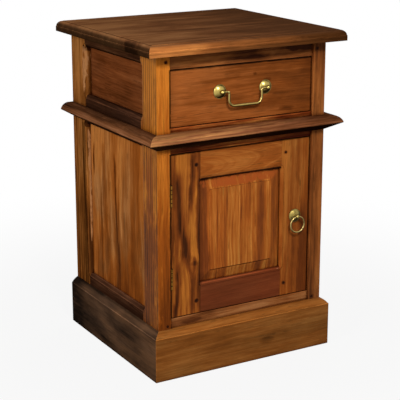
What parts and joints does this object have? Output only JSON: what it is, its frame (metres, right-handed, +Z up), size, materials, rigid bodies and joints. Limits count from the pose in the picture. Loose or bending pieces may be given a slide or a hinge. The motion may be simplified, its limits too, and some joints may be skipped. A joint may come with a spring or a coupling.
{
  "type": "nightstand",
  "caption": "Mahogany bedside cabinet on a plinth, with a drawer on a swan-neck bail pull above a framed cupboard door with a ring pull.",
  "frame": {"origin": "on the floor, in the middle of the outline of the top", "axes": "+Z up, the front with its drawer and door faces -Y, +X to the right of someone looking at the front"},
  "size_m": [0.466, 0.438, 0.7],
  "materials": {
    "top_wood": "waxed dark mahogany",
    "post_wood": "waxed red-brown mahogany",
    "rail_wood": "waxed mahogany",
    "panel_wood": "waxed mahogany panel",
    "moulding_wood": "waxed dark mahogany moulding",
    "door_wood": "waxed orange-brown mahogany",
    "drawer_wood": "waxed orange-brown mahogany",
    "inner_wood": "plain unwaxed wood",
    "peg_wood": "dark oiled peg",
    "old_brass": "aged, part polished",
    "catch_steel": "plain"
  },
  "bodies": {
    "carcass": {"top_board": "top_wood", "post_front_left": "post_wood", "post_front_right": "post_wood", "post_rear_left": "post_wood", "post_rear_right": "post_wood", "side_rail_top_left": "rail_wood", "side_rail_top_right": "rail_wood", "side_rail_middle_left": "rail_wood", "side_rail_middle_right": "rail_wood", "side_rail_bottom_left": "rail_wood", "side_rail_bottom_right": "rail_wood", "side_panel_upper_left": "panel_wood", "side_panel_upper_right": "panel_wood", "side_panel_lower_left": "panel_wood", "side_panel_lower_right": "panel_wood", "front_rail_top": "rail_wood", "front_rail_middle": "rail_wood", "front_rail_bottom": "rail_wood", "rear_rail_top": "inner_wood", "rear_rail_middle": "inner_wood", "rear_rail_bottom": "inner_wood", "back_panel": "panel_wood", "waist_moulding_front": "moulding_wood", "waist_moulding_left": "moulding_wood", "waist_moulding_right": "moulding_wood", "plinth_front": "moulding_wood", "plinth_left": "moulding_wood", "plinth_right": "moulding_wood", "plinth_rear": "moulding_wood", "cupboard_floor": "inner_wood", "floor_bearers": "inner_wood", "dust_panel": "inner_wood", "drawer_runners": "inner_wood", "drawer_kickers": "inner_wood", "drawer_stops": "inner_wood", "carcass_pegs": "peg_wood", "door_stop": "rail_wood", "catch_magnet": "catch_steel", "hinge_frame_leaves": "old_brass", "hinge_pins": "old_brass"},
    "drawer": {"drawer_front": "drawer_wood", "drawer_side_left": "inner_wood", "drawer_side_right": "inner_wood", "drawer_back": "inner_wood", "drawer_bottom": "inner_wood", "pull_roses": "old_brass", "pull_posts": "old_brass", "pull_nuts": "old_brass"},
    "bail": {"bail": "old_brass"},
    "door": {"door_stile_hinge": "door_wood", "door_stile_lock": "door_wood", "door_rail_top": "door_wood", "door_rail_bottom": "door_wood", "door_panel": "door_wood", "door_pegs": "peg_wood", "hinge_door_leaves": "old_brass", "catch_plate": "catch_steel", "ring_plate": "old_brass", "ring_nut": "old_brass"},
    "ring": {"ring": "old_brass"}
  },
  "joints": [
    {"name": "drawer_slide", "type": "slide", "parent": "carcass", "child": "drawer", "axis": [0, -1, 0], "range_m": [0, 0.26]},
    {"name": "bail_swing", "type": "hinge", "parent": "drawer", "child": "bail", "pos_m": [0, -0.1935, 0.591], "axis": [-1, 0, 0], "range_deg": [-15, 100]},
    {"name": "door_hinge", "type": "hinge", "parent": "carcass", "child": "door", "pos_m": [-0.1685, -0.1844, 0.3], "axis": [0, 0, -1], "range_deg": [0, 170]},
    {"name": "ring_swing", "type": "hinge", "parent": "door", "child": "ring", "pos_m": [0.134, -0.1935, 0.303], "axis": [-1, 0, 0], "range_deg": [-14, 95]}
  ]
}
